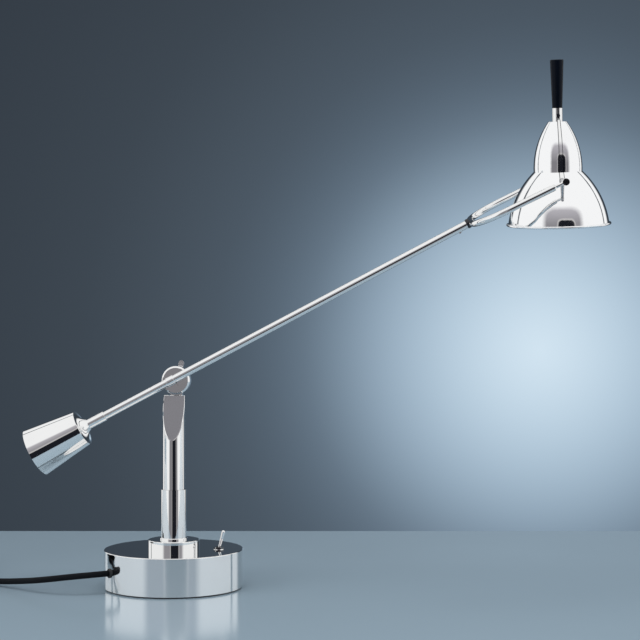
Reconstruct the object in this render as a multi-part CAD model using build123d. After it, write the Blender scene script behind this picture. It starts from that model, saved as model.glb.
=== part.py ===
from build123d import *

import os
from functools import cache
from math import cos, hypot, pi, radians, sin, tan

# A desk lamp with a counterweight. A round weighted base carries a swivelling column, and a
# friction joint on the column carries a long tube with a conical weight at one end and a
# forked shade at the other. Millimetres, +Z up, the viewer's side is -Y. The origin is the
# centre of the base's underside.

# ---- Driving dimensions -------------------------------------------------------------------

running_gap = 0.05          # radial play of a pin or shaft in its hole
seat_gap = 0.1              # play of a piece that is set into another and fixed there
clear_gap = 0.3             # air between pieces that move past each other

# Base
base_radius = 70.0
base_height = 39.0
shell_wall = 2.5
shell_roof = 3.0
shell_edge = 0.8            # rounding of the upper edge
pad_thickness = 1.5
pad_inset = 2.0
cover_thickness = 2.5
cover_screw_radius = 1.7
cover_screw_head = 3.4
cover_screw_inset = 18.0    # of the screws' circle, inside the base's outside
cover_screw_depth = 14.0
cover_screw_count = 3
web_thickness = 6.0         # of the ballast above its well
well_radius = 24.0
boss_radius = 25.85
boss_height = 9.4
boss_edge = 0.8

# Sleeve that the column turns in
sleeve_radius = 12.75
sleeve_height = 50.5
sleeve_floor = 5.6          # solid height above the boss before the bore
bead_radius = 13.9
bead_height = 2.0
bead_roundness = 0.4        # of the bead's height
spigot_radius = 10.0
spigot_bore = 6.0
spigot_depth = 28.5         # below the top of the boss
locknut_flats = 27.0
locknut_height = 6.0
bush_wall = 0.75
bush_flange_radius = 11.1
bush_flange_height = 1.0
spindle_radius = 9.0
spindle_bore = 5.0
swivel_screw_radius = 2.0
swivel_screw_rise = 12.0    # above the sleeve's floor
swivel_groove_depth = 1.0
swivel_stop_angle = 10.0    # left uncut in the groove, so that the leads can't be wound up

# Column
column_yaw = -5.2
column_radius = 11.0
foot_height = 15.1          # of the friction joint's pivot above the column's top
flat_offset = 3.0           # behind the axis at the column's top
flat_length = 45.0
flat_bevel = 0.45

# Friction joint on the column, along the pivot axis, towards the viewer
joint_height = 208.9
joint_offset = 1.5
joint_front = -1.0          # front face of the arm's disc
disc_radius = 14.35
disc_edge = 1.7
arm_disc_thickness = 5.0
fixed_disc_thickness = 6.0
friction_washer_thickness = 0.5
friction_washer_radius = 13.8
lead_groove_outer = 11.0
lead_groove_inner = 5.6
lead_groove_depth = 2.5
lead_back = 8.3             # of the column's lead at its top, behind the axis
lead_start = 2.0            # above the spindle's bottom
foot_half_width = 6.0
foot_back = 10.8            # behind the column's axis
bolt_radius = 3.0
bolt_head_radius = 5.2
bolt_head_height = 2.4
bolt_tail = 8.6             # behind the fixed disc
spring_washer_radius = 5.2
spring_washer_thickness = 1.1
wing_boss_radius = 5.0
wing_boss_taper = 1.0
wing_boss_length = 5.2
wing_reach = 20.3
wing_root = 3.2
wing_tip = 5.7
wing_thickness = 2.2
wing_angle = 79.0

# Arm
arm_pitch = 27.74
tube_radius = 4.0
tube_wall = 1.0
tube_rise = 1.6             # above the pivot, square to the arm
tube_front = 2.2            # in front of the column's axis
saddle_width = 13.5
saddle_radius = 13.0
saddle_top = 0.6
saddle_screw_radius = 1.1
saddle_screw_reach = 1.0    # past the disc's front, into the saddle
saddle_screw_spread = 8.6
saddle_screw_drop = 3.55
collar_radius = 4.7
collar_start = -8.0
collar_length = 8.0
collar_roundness = 0.6      # of the collar's wall
lead_radius = 1.1
lead_entry = 8.2
cable_radius = 2.6
cable_lead_gap = 3.0        # between the lead's entry and the cable's end
cable_stem_gap = 1.0

# Counterweight, distances along the arm from the pivot
sleeve_start = 80.0
weight_start = 106.5
weight_length = 54.4
weight_front_radius = 18.4
weight_back_radius = 25.3
shoulder_length = 7.7
shoulder_sag_radius = 4.2   # of the hollow's middle, outside the neck
shoulder_sag_place = 0.38   # of the shoulder's length, before its edge
weight_sleeve_radius = 4.9
weight_neck_play = 0.3      # between the sleeve and the shell's neck
weight_sleeve_overlap = 6.0
weight_shell_wall = 2.5
end_cap_thickness = 2.5
end_plug_length = 14.0
end_screw_radius = 2.0
end_screw_head = 3.6
end_screw_head_height = 1.6
screw_slot_half = 0.4        # half width of a screwdriver slot
screw_edge = 0.4
weight_screw_radius = 2.0
weight_screw_place = 5.0    # behind the weight's front edge
weight_screw_sunk = 1.0     # below the shell's outside

# Fork
fork_place = 331.9          # crotch, along the arm from the pivot
fork_roll = 9.0
fork_droop = 1.55
fork_reach = 100.7          # crotch to the shade's pivot
fork_half_width = 55.5
fork_rod_radius = 3.2
fork_corner = 38.0
ferrule_edge = 0.8
fork_neck_length = 12.0
fork_neck_radius = 1.75     # thinner than the eye, which it runs into
fork_step = 1.5
eye_radius = 3.4
eye_thickness = 4.0
neck_sink = 0.85            # of the neck into the eye
ferrule_radius = 4.8
ferrule_length = 3.6
stem_length = 28.0
stem_bore = 1.4
stop_screw_radius = 1.3
stop_screw_place = 9.0      # before the crotch
stop_screw_head = 1.2
stop_groove_depth = 0.9

# Shade, heights above the rim's plane
shade_turn = 24.74          # from square to the fork
shade_wall = 0.9
pivot_above_rim = 45.5
rim_radius = 49.8
rim_bead_radius = 1.25
bell_middle_radius = 42.9
bell_middle_height = 25.7
waist_radius = 23.9
waist_height = 53.0
dome_middle_radius = 20.3
dome_middle_height = 79.4
crown_radius = 8.9
crown_height = 102.0
crown_edge = 0.6
neck_radius = 5.0
nipple_radius = 3.0
nipple_bore = 1.8
nipple_drop = 16.0          # below the crown
handle_bottom_radius = 4.9
handle_top_radius = 6.6
handle_length = 47.0
handle_bore_depth = 12.0
strap_thickness = 0.9
strap_top_width = 3.0
strap_bottom_width = 5.0
strap_rise = 7.5            # of the straps' ends above the crown
strap_tab = 5.0             # upright end of a strap, on the neck
strap_low_reach = 4.0       # of the strip, below the pivot
strap_foot = 3.0            # below the crown, where a strap leaves the dome
strap_bend_rise = 1.0       # above the crown
strap_bend_out = 0.7        # outside the crown's edge
strap_eye_rim = 0.4
handle_gap = 5.5            # between the straps' ends and the handle
handle_edge = 1.0
strap_screw_radius = 1.0
strap_screw_drop = 2.0      # below the strap's end
strap_screw_head = 1.8
strap_screw_head_height = 1.1

# Shade pivots, on each side
pin_radius = 1.5
pin_head_radius = 3.1
pin_head_height = 1.5
pin_nut_radius = 2.9
pin_nut_height = 2.4
pin_thread_end = 0.6        # past the nut
pin_slot_depth = 0.7
pivot_washer_thickness = 0.4
spacer_radius = 2.5
spacer_sunk = 4.0           # behind the bell's outside, before it is cut to it
pivot_washer_rim = 0.2      # of the washer, outside the pin's head

# Bulb and holder, heights above the rim's plane
holder_radius = 12.0
holder_wall = 3.4
holder_drop = 45.0          # of the holder's mouth, below the crown
holder_height = 25.0
holder_cap_radius = 8.6
holder_cap_height = 5.0
contact_radius = 2.2
contact_height = 1.4
bulb_cap_radius = 6.9
bulb_cap_length = 20.0
bulb_radius = 22.5
bulb_drop = 30.0            # centre of the globe, below the holder's mouth
bulb_wall = 0.8

# Toggle switch
switch_inset = 24.3         # inside the base's outside
switch_y = -5.0
switch_length = 13.0
switch_width = 9.0
switch_depth = 13.0
switch_bushing_radius = 3.1
switch_bushing_bore = 2.3
switch_bushing_rise = 2.4
switch_nut_flats = 8.6
switch_nut_height = 1.8
switch_washer_radius = 5.2
switch_washer_thickness = 0.5
switch_pocket_gap = 1.6
tab_length = 5.0
tab_width = 2.4
tab_half = 0.4               # half of a tab's thickness
tab_spacing = 4.6
lever_length = 19.7         # above the roof
lever_root_radius = 1.1
lever_tip_radius = 1.9
lever_pivot_drop = 0.5      # below the roof's upper face
lever_ball_radius = 2.15
lever_tilt = 15.0

# Cord inlet and its pieces inside the base
cord_radius = 3.0
inlet_height = 19.6
inlet_angle = 211.0         # of the inlet round the base
grommet_radius = 3.9
grommet_flange = 4.6
grommet_lip = 1.2
channel_half_width = 12.0
clamp_inset = 14.0          # of the clamp's middle, inside the base's outside
clamp_length = 9.0
clamp_half_width = 9.5
clamp_height = 6.0
clamp_screw_radius = 1.5
clamp_screw_depth = 8.0     # below the cord's axis
clamp_screw_head = 2.7
clamp_screw_head_height = 1.8
clamp_screw_spread = 6.6
terminal_spacing = 18.0     # between the middles of the block and the clamp
terminal_length = 12.0
terminal_half_width = 10.0
terminal_height = 11.0
terminal_screw_radius = 1.6
terminal_screw_depth = 2.0
bridge_thickness = 3.0      # between the terminal block and the clamp's seat
wire_radius = 1.1
wire_bend = 3.0
wire_spread = 4.0
wire_drop = 6.0             # below the switch's tabs
wire_reach = 6.0            # straight out of the terminal block

# Cord: from the inlet the route is chosen by hand, each point (x, y, z)
cord_length = 1800.0
cord_route = [
    (-75.6, -45.425, 19.6),
    (-99.0, -46.5, 17.6),
    (-127.0, -36.0, 13.0),
    (-152.0, -13.5, 8.0),
    (-180.5, 5.5, 4.6),
    (-201.0, 18.5, 4.2),
    (-214.0, 34.0, 4.2),
    (-219.0, 50.0, 4.2),
    (-219.0, 66.0, 4.2),
]
route_share = 0.45          # of the shorter run that a corner's arc takes
coil_turns = 7.1
coil_middle_turn = 3.25     # where the spiral reverses
coil_climb = 0.5            # turns in which it climbs to the upper layer
coil_pitch = 6.6
coil_layer = 6.6
coil_lead_in = 6.0
coil_tail = 14.0
tie_thickness = 0.6
tie_width = 7.0
tie_gap = 0.5
tie_angle = 250.0

# Plug
plug_length = 36.0
plug_half_width = 15.0
plug_half_height = 10.6
plug_corner = 6.0
plug_neck_start = 4.2
plug_neck_radius = 5.5
plug_neck_length = 22.0
plug_pin_radius = 2.0
plug_pin_length = 19.0
plug_pin_spread = 9.5

# ---- Places worked out from them ----------------------------------------------------------

roof_under = base_height - shell_roof
cover_top = pad_thickness + cover_thickness
cover_screw_circle = base_radius - cover_screw_inset
switch_x = base_radius - switch_inset
switch_tab_end = base_height - shell_roof - switch_depth - tab_length
wire_height = switch_tab_end - wire_drop
clamp_place = base_radius - clamp_inset
terminal_place = clamp_place - terminal_spacing
boss_top = base_height + boss_height
sleeve_top = boss_top + sleeve_height
swivel_screw_height = boss_top + sleeve_floor + swivel_screw_rise
column_top = joint_height - foot_height
ballast_radius = base_radius - shell_wall - seat_gap
web_under = roof_under - web_thickness
bush_radius = spindle_radius + running_gap + bush_wall
spindle_bottom = boss_top + sleeve_floor + clear_gap
fixed_disc_front = joint_front - arm_disc_thickness - friction_washer_thickness
fixed_disc_back = fixed_disc_front - fixed_disc_thickness
tube_bore = tube_radius - tube_wall
weight_end = weight_start + weight_length
strap_top_height = crown_height + strap_rise
handle_bottom = strap_top_height + handle_gap
holder_bottom = crown_height - holder_drop
bulb_height = holder_bottom - bulb_drop
pin_shoulder = fork_half_width + eye_thickness / 2 + pivot_washer_thickness

column_frame = Location((0, 0, 0), (0, 0, column_yaw))
joint_frame = column_frame * Location((joint_offset, 0, joint_height), (90, 0, 0))
arm_frame = joint_frame * Location((0, 0, 0), (0, 0, arm_pitch))
tube_frame = arm_frame * Location((0, tube_rise, tube_front))
stem_frame = tube_frame * Location((fork_place, 0, 0), (fork_roll, 0, 0))
fork_frame = stem_frame * Location((0, 0, 0), (0, 0, -fork_droop))
pivot_frame = fork_frame * Location((fork_reach, 0, 0), (0, 0, -shade_turn))
shade_frame = pivot_frame * Location((0, 0, 0), (-90, 0, 0)) * Location((0, 0, -pivot_above_rim))
switch_frame = Location((switch_x, switch_y, base_height))
inlet_frame = Location((0, 0, 0), (0, 0, inlet_angle))

UPRIGHT = (Align.CENTER, Align.CENTER, Align.MIN)
SAME_PLACE = 0.001          # two heights nearer than this are one


# ---- Shapes used many times ---------------------------------------------------------------

def disc(radius, low, high, x=0.0, y=0.0):
    """A cylinder along Z between two heights."""
    return Pos(x, y, low) * Cylinder(radius, high - low, align=UPRIGHT)


def ring(outer, inner, low, high, x=0.0, y=0.0):
    """A tube along Z between two heights."""
    return disc(outer, low, high, x, y) - disc(inner, low, high, x, y)


def rod(radius, start, end, y=0.0, z=0.0):
    """A cylinder along X between two places."""
    return Pos(start, y, z) * Rot(0, 90, 0) * Cylinder(radius, end - start, align=UPRIGHT)


def between(start, end, radius):
    """A cylinder from one point to another."""
    way = Vector(end) - Vector(start)
    return Plane(origin=start, z_dir=way) * Cylinder(radius, way.length, align=UPRIGHT)


def block(x_span, y_span, z_span):
    """A box between two places along each axis."""
    size = [high - low for low, high in (x_span, y_span, z_span)]
    return Pos(x_span[0], y_span[0], z_span[0]) * Box(*size, align=(Align.MIN,) * 3)


def cone(low_radius, high_radius, low, high):
    """A truncated cone along Z between two heights."""
    return Pos(0, 0, low) * Cone(low_radius, high_radius, high - low, align=UPRIGHT)


def hexagon(flats, low, high):
    """A hexagonal prism along Z, by its width across flats."""
    return Pos(0, 0, low) * extrude(RegularPolygon(flats / 2, 6, major_radius=False), high - low)


def turned(*lines):
    """A solid of revolution about Z from a closed outline drawn in the XZ plane."""
    return revolve(make_face(lines), Axis.Z)


def outline(*points):
    """A closed outline through points of radius and height, turned about Z."""
    return revolve(make_face(Polyline(*[(r, 0, z) for r, z in points], close=True)), Axis.Z)


def circles_at(solid, height):
    """The circular edges of a solid that lie at one height."""
    edges = solid.edges().filter_by(GeomType.CIRCLE)
    return edges.filter_by_position(Axis.Z, height - SAME_PLACE, height + SAME_PLACE)


def outer_circle(solid, height):
    """The widest circular edge of a solid at one height."""
    return circles_at(solid, height).sort_by(SortBy.RADIUS)[-1]


def tube_along(line, radius):
    """A round solid swept along a line."""
    section = Plane(origin=line @ 0, z_dir=line % 0) * Circle(radius)
    return sweep(section, line)


def group(*solids):
    """Separate solids kept in one node."""
    return Compound([solid.solid() for solid in solids])


def both_sides(solid):
    """A solid and its mirror image across the plane Y = 0, as one group."""
    return group(solid, mirror(solid, Plane.XZ))


# ---- Base ---------------------------------------------------------------------------------

def base_shell():
    shell = disc(base_radius, pad_thickness, base_height)
    shell = fillet(outer_circle(shell, base_height), shell_edge)
    shell -= disc(base_radius - shell_wall, pad_thickness, roof_under)
    shell -= disc(spigot_radius + seat_gap, roof_under, base_height)
    shell -= disc(switch_bushing_radius + seat_gap, roof_under, base_height, switch_x, switch_y)
    return shell - inlet_frame * rod(grommet_radius, 0, base_radius, z=inlet_height)


def cover_screw_places():
    """Evenly spaced, with the first well clear of the inlet's channel."""
    turns = [inlet_angle + 60 + 360 / cover_screw_count * index for index in range(cover_screw_count)]
    return [Rot(0, 0, turn) * Pos(cover_screw_circle, 0, 0) for turn in turns]


def cover_screw(play=0.0):
    """Countersunk screw, its head's flat end down; play widens it into its hole."""
    head_height = cover_screw_head - cover_screw_radius
    shank_top = pad_thickness + cover_screw_depth
    head = cone(cover_screw_head + play, cover_screw_radius + play, pad_thickness,
                pad_thickness + head_height)
    return head + disc(cover_screw_radius + play, pad_thickness, shank_top + play)


def base_cover_plate():
    plate = disc(ballast_radius, pad_thickness, cover_top)
    for place in cover_screw_places():
        plate -= place * cover_screw(seat_gap)
    return plate


def base_ballast():
    ballast = disc(ballast_radius, cover_top, roof_under)
    ballast -= disc(well_radius, cover_top, web_under)
    ballast -= disc(spigot_radius + seat_gap, web_under, roof_under)
    ballast -= inlet_frame * block((0, base_radius), (-channel_half_width, channel_half_width),
                                   (cover_top, web_under))
    half_length = switch_length / 2 + switch_pocket_gap
    half_width = switch_width / 2 + switch_pocket_gap
    ballast -= block((switch_x - half_length, switch_x + half_length),
                     (switch_y - half_width, switch_y + half_width), (cover_top, roof_under))
    ballast -= block((0, switch_x), (switch_y - half_width, switch_y + half_width),
                     (cover_top, web_under - locknut_height))
    for place in cover_screw_places():
        ballast -= place * cover_screw(seat_gap)
    return ballast


def felt_pad():
    return disc(base_radius - pad_inset, 0, pad_thickness)


def cover_screws():
    return group(*[place * cover_screw() for place in cover_screw_places()])


def base_boss():
    boss = ring(boss_radius, spigot_radius + seat_gap, base_height, boss_top)
    return fillet(outer_circle(boss, boss_top), boss_edge)


# ---- Sleeve -------------------------------------------------------------------------------

def swivel_screw():
    """Grub screw from the sleeve's back into the spindle's groove."""
    tip = spindle_radius - swivel_groove_depth + clear_gap
    return between((0, tip, swivel_screw_height), (0, sleeve_radius, swivel_screw_height),
                   swivel_screw_radius)


def column_sleeve():
    sleeve = disc(sleeve_radius, boss_top, sleeve_top)
    sleeve += disc(spigot_radius, boss_top - spigot_depth, boss_top)
    sleeve -= disc(spigot_bore, boss_top - spigot_depth, boss_top + sleeve_floor)
    sleeve -= disc(bush_radius, boss_top + sleeve_floor, sleeve_top)
    sleeve -= disc(bush_flange_radius + seat_gap, sleeve_top - bush_flange_height, sleeve_top)
    bead = ring(bead_radius, sleeve_radius, boss_top, boss_top + bead_height)
    sleeve += fillet(outer_circle(bead, boss_top + bead_height), bead_height * bead_roundness)
    return sleeve - swivel_screw()


def column_bush():
    bush = disc(bush_radius, boss_top + sleeve_floor, sleeve_top)
    bush += disc(bush_flange_radius, sleeve_top - bush_flange_height, sleeve_top)
    bush -= disc(spindle_radius + running_gap, boss_top + sleeve_floor, sleeve_top)
    return bush - swivel_screw()


def sleeve_locknut():
    nut = hexagon(locknut_flats, web_under - locknut_height, web_under)
    return nut - disc(spigot_radius, web_under - locknut_height, web_under)


# ---- Column -------------------------------------------------------------------------------

def lead_line():
    """Ends of the straight lead in the column, in the column's own frame."""
    top = (0, lead_back, joint_height - (lead_groove_inner + lead_groove_outer) / 2)
    bottom = (0, -(spindle_bore - 2 * lead_radius), spindle_bottom + lead_start)
    return bottom, top


def lead_bore():
    bottom, top = lead_line()
    return between(bottom, top, lead_radius + seat_gap)


def column_flat():
    """What the slanting flat takes off the column's front."""
    slope = (column_radius + flat_offset) / flat_length
    over = 2.0
    outside = column_radius + over
    low = column_top - (outside + flat_offset) / slope
    face = make_face(Polyline((0, flat_offset + over * slope, column_top + over),
                              (0, -outside, column_top + over), (0, -outside, low), close=True))
    return extrude(face, column_radius + over, both=True, dir=(1, 0, 0))


def flat_face(post):
    """The slanting flat itself, the one plane face that isn't level."""
    planes = post.faces().filter_by(GeomType.PLANE)
    return [face for face in planes if abs(face.normal_at().Z) < 0.9][0]


def column_post():
    shoulder = sleeve_top + seat_gap
    post = disc(column_radius, shoulder, column_top) - column_flat()
    post = chamfer(flat_face(post).edges(), flat_bevel)
    post += disc(spindle_radius, spindle_bottom, shoulder)
    post -= disc(spindle_bore, spindle_bottom, sleeve_top)
    groove_half = swivel_screw_radius + seat_gap
    inner = spindle_radius - swivel_groove_depth
    low = swivel_screw_height - groove_half
    high = swivel_screw_height + groove_half
    section = make_face(Polyline((inner, 0, low), (column_radius, 0, low), (column_radius, 0, high),
                                 (inner, 0, high), close=True))
    groove = revolve(section, Axis.Z, 360 - swivel_stop_angle)
    post -= Rot(0, 0, swivel_stop_angle / 2 - 90) * groove
    post -= lead_bore()
    return column_frame * post


def fixed_disc():
    """Rear disc of the friction joint, on a foot that stands on the column."""
    wheel = disc(disc_radius, fixed_disc_back, fixed_disc_front)
    wheel = chamfer(outer_circle(wheel, fixed_disc_back), disc_edge)
    wheel += block((-foot_half_width, foot_half_width), (-foot_height, -lead_groove_outer),
                   (-foot_back, fixed_disc_front))
    wheel -= ring(lead_groove_outer, lead_groove_inner, fixed_disc_front - lead_groove_depth,
                  fixed_disc_front)
    wheel -= disc(bolt_radius + seat_gap, fixed_disc_back, fixed_disc_front)
    return joint_frame * wheel - column_frame * lead_bore()


def column_lead():
    bottom, top = lead_line()
    return column_frame * between(bottom, top, lead_radius)


def friction_washer():
    washer = ring(friction_washer_radius, lead_groove_outer + clear_gap, fixed_disc_front,
                  fixed_disc_front + friction_washer_thickness - running_gap)
    return joint_frame * washer


def bolt_head_place():
    """Back face of the bolt's head, sunk in the arm's disc clear of the tube."""
    return tube_front - tube_radius - clear_gap - bolt_head_height


def pivot_bolt():
    seat = bolt_head_place()
    bolt = disc(bolt_head_radius, seat, seat + bolt_head_height)
    bolt += disc(bolt_radius, fixed_disc_back - bolt_tail, seat)
    return joint_frame * bolt


def spring_washer():
    return joint_frame * ring(spring_washer_radius, bolt_radius + seat_gap,
                              fixed_disc_back - spring_washer_thickness, fixed_disc_back)


def wing_nut():
    """Nut with two flared wings, behind the fixed disc."""
    front = fixed_disc_back - spring_washer_thickness - seat_gap
    back = front - wing_boss_length
    nut = cone(wing_boss_radius - wing_boss_taper, wing_boss_radius, back, front)
    wing = make_face(Polyline((0, -wing_root / 2), (wing_reach - wing_tip / 2, -wing_tip / 2),
                              (wing_reach - wing_tip / 2, wing_tip / 2), (0, wing_root / 2),
                              close=True))
    wing += Pos(wing_reach - wing_tip / 2, 0) * Circle(wing_tip / 2)
    blade = Pos(0, 0, (front + back - wing_thickness) / 2) * extrude(wing, wing_thickness)
    nut += blade + Rot(0, 0, 180) * blade
    nut -= disc(bolt_radius + running_gap, back, front)
    return joint_frame * Rot(0, 0, wing_angle) * nut


# ---- Arm ----------------------------------------------------------------------------------

def saddle_screws_local(play=0.0):
    """Two countersunk screws from the disc's back into the saddle, in the arm's frame."""
    back = joint_front - arm_disc_thickness
    head = saddle_screw_radius * 2
    screw = cone(head + play, saddle_screw_radius + play, back, back + head - saddle_screw_radius)
    screw += disc(saddle_screw_radius + play, back, joint_front + saddle_screw_reach)
    return [Pos(side * saddle_screw_spread, -saddle_screw_drop, 0) * screw for side in (-1, 1)]


def saddle_screws():
    return arm_frame * group(*saddle_screws_local())


def lead_entry_hole():
    """Hole for the lead from the joint's groove into the tube, in the arm's frame."""
    return disc(lead_radius + seat_gap, joint_front - arm_disc_thickness, tube_front, lead_entry,
                tube_rise)


def arm_disc():
    back = joint_front - arm_disc_thickness
    wheel = disc(disc_radius, back, joint_front)
    wheel = chamfer(outer_circle(wheel, joint_front), disc_edge)
    wheel -= disc(bolt_radius + running_gap, back, joint_front)
    wheel -= disc(bolt_head_radius + running_gap, bolt_head_place() - running_gap, joint_front)
    wheel -= rod(tube_radius, -disc_radius, disc_radius, tube_rise, tube_front)
    wheel -= lead_entry_hole()
    for screw in saddle_screws_local():
        wheel -= screw
    return arm_frame * wheel


def arm_saddle():
    """Cradle between the arm's disc and the tube."""
    cradle = disc(saddle_radius, joint_front, saddle_top)
    cradle &= block((-disc_radius, disc_radius),
                    (tube_rise - saddle_width / 2, tube_rise + saddle_width / 2),
                    (joint_front, saddle_top))
    cradle -= rod(tube_radius, -disc_radius, disc_radius, tube_rise, tube_front)
    cradle -= lead_entry_hole()
    for screw in saddle_screws_local():
        cradle -= screw
    collar = rod(collar_radius, collar_start, collar_start + collar_length)
    collar_edge = (collar_radius - tube_radius) * collar_roundness
    collar = fillet(collar.edges().filter_by(GeomType.CIRCLE), collar_edge)
    collar -= rod(tube_radius, collar_start, collar_start + collar_length)
    under = disc(disc_radius, joint_front - arm_disc_thickness, joint_front)
    return arm_frame * cradle + (tube_frame * collar - arm_frame * under)


def arm_tube():
    start = -(weight_end - end_cap_thickness - end_screw_head_height)
    tube = rod(tube_radius, start, fork_place) - rod(tube_bore, start, fork_place)
    placed = tube_frame * tube
    placed -= arm_frame * lead_entry_hole()
    placed -= stem_frame_straight() * stop_screw_local()
    return placed


def arm_cable():
    """Two-core lead along the tube, from the joint to the fork's stem."""
    return tube_frame * rod(cable_radius, lead_entry + cable_lead_gap,
                            fork_place - stem_length - cable_stem_gap)


# ---- Counterweight ------------------------------------------------------------------------

def weight_radius_at(distance):
    """Outer radius of the weight at a distance along the arm."""
    share = (distance - weight_start) / weight_length
    return weight_front_radius + share * (weight_back_radius - weight_front_radius)


def about_tube(solid):
    """A solid turned about Z, laid along the tube from the pivot towards the weight."""
    return tube_frame * Rot(0, -90, 0) * solid


def weight_cavity(play):
    """Hollow of the weight's shell; play shrinks it into the core that fills it."""
    low = weight_start + weight_shell_wall + play
    high = weight_end - end_cap_thickness
    wall = weight_shell_wall + play
    return cone(weight_radius_at(low) - wall, weight_radius_at(high) - wall, low, high)


def weight_screw():
    """Grub screw from the weight's back, square to the tube, that clamps the sleeve."""
    place = weight_start + weight_screw_place
    return between((0, weight_sleeve_radius, place), (0, weight_radius_at(place) - weight_screw_sunk, place),
                   weight_screw_radius)


def weight_screw_hole():
    place = weight_start + weight_screw_place
    return between((0, 0, place), (0, weight_back_radius, place), weight_screw_radius)


def counterweight_shell():
    start = weight_start - shoulder_length
    neck = weight_sleeve_radius + weight_neck_play
    nose = (neck, 0, start)
    shoulder = (weight_front_radius, 0, weight_start)
    middle = (neck + shoulder_sag_radius, 0, weight_start - shoulder_length * shoulder_sag_place)
    back = (weight_back_radius, 0, weight_end)
    shell = turned(ThreePointArc(nose, middle, shoulder), Line(shoulder, back),
                   Polyline(back, (0, 0, weight_end), (0, 0, start), nose))
    shell -= weight_cavity(0.0)
    shell -= disc(weight_radius_at(weight_end) - weight_shell_wall, weight_end - end_cap_thickness,
                  weight_end)
    shell -= disc(weight_sleeve_radius, start, weight_end)
    return about_tube(shell - weight_screw_hole())


def counterweight_core():
    core = weight_cavity(seat_gap)
    core -= disc(weight_sleeve_radius, weight_start, weight_start + 2 * weight_sleeve_overlap)
    core -= disc(tube_radius, weight_start, weight_end)
    return about_tube(core - weight_screw_hole())


def weight_sleeve():
    end = weight_start + weight_shell_wall + weight_sleeve_overlap
    sleeve = disc(weight_sleeve_radius, sleeve_start, end)
    sleeve = fillet(outer_circle(sleeve, sleeve_start), screw_edge)
    return about_tube(sleeve - disc(tube_radius, sleeve_start, end))


def weight_set_screw():
    return about_tube(weight_screw())


def weight_end_cap():
    outer = weight_radius_at(weight_end) - weight_shell_wall - seat_gap
    cap = disc(outer, weight_end - end_cap_thickness, weight_end)
    cap -= disc(end_screw_radius + seat_gap, weight_end - end_cap_thickness, weight_end)
    sunk = end_screw_head_height / 2
    cap -= disc(end_screw_head + seat_gap, weight_end - sunk, weight_end)
    return about_tube(cap)


def weight_end_screw():
    sunk = end_screw_head_height / 2
    screw = disc(end_screw_head, weight_end - sunk, weight_end + sunk)
    screw = fillet(outer_circle(screw, weight_end + sunk), screw_edge)
    screw -= block((-end_screw_head, end_screw_head), (-screw_slot_half, screw_slot_half),
                   (weight_end + sunk * 0.3, weight_end + sunk))
    tip = weight_end - end_cap_thickness - end_screw_head_height - end_plug_length * 0.7
    return about_tube(screw + disc(end_screw_radius, tip, weight_end - sunk))


def tube_end_plug():
    outer = weight_end - end_cap_thickness - end_screw_head_height
    plug = disc(tube_bore, outer - end_plug_length, outer)
    return about_tube(plug - disc(end_screw_radius, outer - end_plug_length, outer))


# ---- Fork ---------------------------------------------------------------------------------

def stem_frame_straight():
    """The stem's place without the fork's roll: what is fixed to the tube there."""
    return tube_frame * Location((fork_place, 0, 0))


def stop_screw_local():
    """Screw under the tube whose tip runs in the stem's groove."""
    tip = tube_bore - stop_groove_depth + running_gap
    return between((-stop_screw_place, -tube_radius - stop_screw_head, 0),
                   (-stop_screw_place, -tip, 0), stop_screw_radius)


def stop_screw():
    return stem_frame_straight() * stop_screw_local()


def fork_stem():
    """Turned stem that the fork rolls on, inside the tube's end."""
    radius = tube_bore - running_gap
    stem = rod(radius, -stem_length, clear_gap)
    groove = stop_screw_radius + seat_gap
    stem -= (rod(radius + 1, -stop_screw_place - groove, -stop_screw_place + groove)
             - rod(tube_bore - stop_groove_depth, -stop_screw_place - groove,
                   -stop_screw_place + groove))
    stem -= rod(stem_bore, -stem_length, clear_gap)
    return stem_frame * stem


def fork_ferrule():
    """Dark knuckle between the stem and the yoke."""
    knuckle = rod(ferrule_radius, clear_gap, clear_gap + ferrule_length)
    knuckle = fillet(knuckle.edges().filter_by(GeomType.CIRCLE), ferrule_edge)
    return stem_frame * knuckle - fork_frame * yoke_rod()


def yoke_rod():
    """The bent rod without its ends, in the fork's frame; the yoke lies in the XZ plane."""
    back = clear_gap + ferrule_length + fork_rod_radius * 0.5
    tip = fork_reach - fork_neck_length
    path = FilletPolyline((tip, 0, fork_half_width), (back, 0, fork_half_width),
                          (back, 0, -fork_half_width), (tip, 0, -fork_half_width),
                          radius=fork_corner)
    return tube_along(path, fork_rod_radius)


def yoke_end(side):
    """Neck and eye at the end of one leg, in the fork's frame."""
    tip = fork_reach - fork_neck_length
    middle = side * fork_half_width
    step = Pos(tip, 0, middle) * Rot(0, 90, 0) * cone(fork_rod_radius, fork_neck_radius, 0, fork_step)
    neck = rod(fork_neck_radius, tip + fork_step / 2, fork_reach - eye_radius + neck_sink, z=middle)
    span = (middle - eye_thickness / 2, middle + eye_thickness / 2)
    eye = disc(eye_radius, *span, fork_reach)
    return step + neck + eye - disc(pin_radius + running_gap, *span, fork_reach)


def fork_yoke():
    return fork_frame * (yoke_rod() + yoke_end(-1) + yoke_end(1))


# ---- Shade --------------------------------------------------------------------------------

def arc_through(low, middle, high):
    """An arc through three points of radius and height, in the XZ plane."""
    return ThreePointArc(*[(r, 0, z) for r, z in (low, middle, high)])


def arc_circle(low, middle, high):
    """Centre and radius of the circle through three points of radius and height."""
    (ax, ay), (bx, by), (cx, cy) = low, middle, high
    d = 2 * (ax * (by - cy) + bx * (cy - ay) + cx * (ay - by))
    a2, b2, c2 = ax * ax + ay * ay, bx * bx + by * by, cx * cx + cy * cy
    x = (a2 * (by - cy) + b2 * (cy - ay) + c2 * (ay - by)) / d
    y = (a2 * (cx - bx) + b2 * (ax - cx) + c2 * (bx - ax)) / d
    return x, y, hypot(ax - x, ay - y)


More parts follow.
